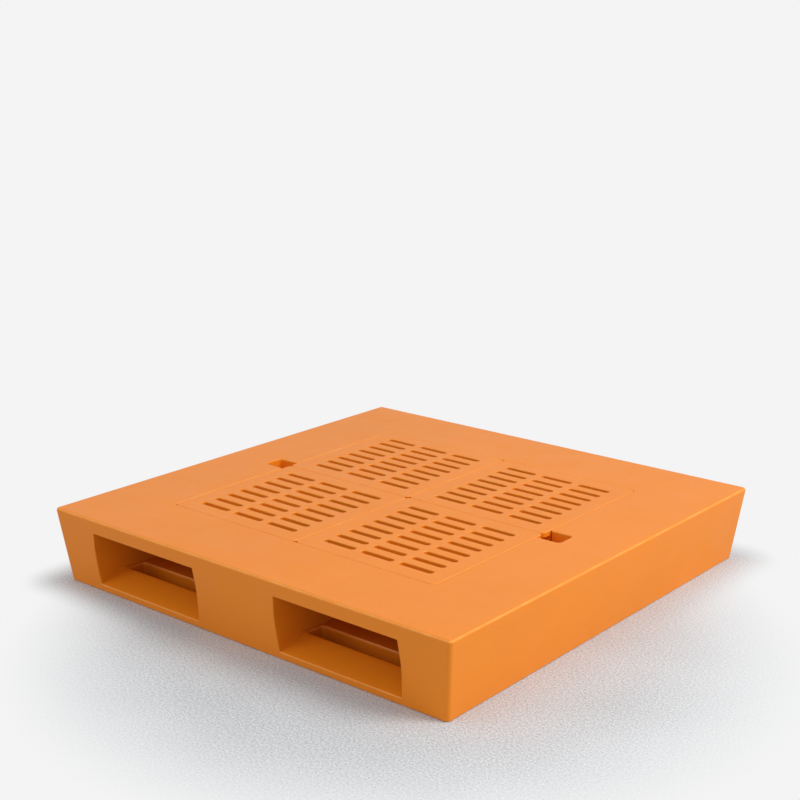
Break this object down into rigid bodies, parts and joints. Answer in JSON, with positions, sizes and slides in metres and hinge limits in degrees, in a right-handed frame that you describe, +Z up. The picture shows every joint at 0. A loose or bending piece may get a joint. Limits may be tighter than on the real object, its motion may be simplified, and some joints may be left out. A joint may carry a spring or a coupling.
{
  "type": "spill containment pallet",
  "caption": "Low polyethylene spill containment pallet for 200 litre drums, with through fork tunnels, lift-out slotted deck panels over a sump, and a screwed drain plug.",
  "frame": {"origin": "on the ground under the middle of the pallet", "axes": "+Z up; the fork tunnels run along Y; the drain faces +Y; X is across the tunnels"},
  "size_m": [1.1998, 1.1998, 0.185],
  "materials": {
    "orange_polyethylene": "rotomoulded polyethylene, semi-matt with a fine pebbled grain",
    "black_polyethylene": "recycled black polyethylene, matt",
    "black_polypropylene": "injection-moulded polypropylene, satin",
    "black_rubber": "moulded rubber, matt"
  },
  "bodies": {
    "root": {"pallet_body": "orange_polyethylene", "support_column_front": "black_polyethylene", "support_column_centre": "black_polyethylene", "support_column_rear": "black_polyethylene", "drain_fitting": "black_polypropylene", "drain_fitting_gasket": "black_rubber", "drain_locknut": "black_polypropylene"},
    "front_left_panel": {"deck_panel_front_left": "orange_polyethylene"},
    "front_right_panel": {"deck_panel_front_right": "orange_polyethylene"},
    "rear_left_panel": {"deck_panel_rear_left": "orange_polyethylene"},
    "rear_right_panel": {"deck_panel_rear_right": "orange_polyethylene"},
    "plug_gasket": {"drain_plug_gasket": "black_rubber"},
    "plug": {"drain_plug": "black_polypropylene"}
  },
  "joints": [
    {"name": "front_left_panel_lift", "type": "slide", "parent": "root", "child": "front_left_panel", "axis": [0, 0, 1], "range_m": [0, 0.2]},
    {"name": "front_right_panel_lift", "type": "slide", "parent": "root", "child": "front_right_panel", "axis": [0, 0, 1], "range_m": [0, 0.2]},
    {"name": "rear_left_panel_lift", "type": "slide", "parent": "root", "child": "rear_left_panel", "axis": [0, 0, 1], "range_m": [0, 0.2]},
    {"name": "rear_right_panel_lift", "type": "slide", "parent": "root", "child": "rear_right_panel", "axis": [0, 0, 1], "range_m": [0, 0.2]},
    {"name": "plug_travel", "type": "slide", "parent": "root", "child": "plug_gasket", "axis": [0, 1, 0], "range_m": [0, 0.0116]},
    {"name": "plug_turn", "type": "hinge", "parent": "plug_gasket", "child": "plug", "pos_m": [0, 0.559, 0.038], "axis": [0, 1, 0], "range_deg": [0, 1800]}
  ],
  "couplings": [
    {"joint": "plug_travel", "follows": "plug_turn", "m_per_rad": 0.00036749}
  ]
}
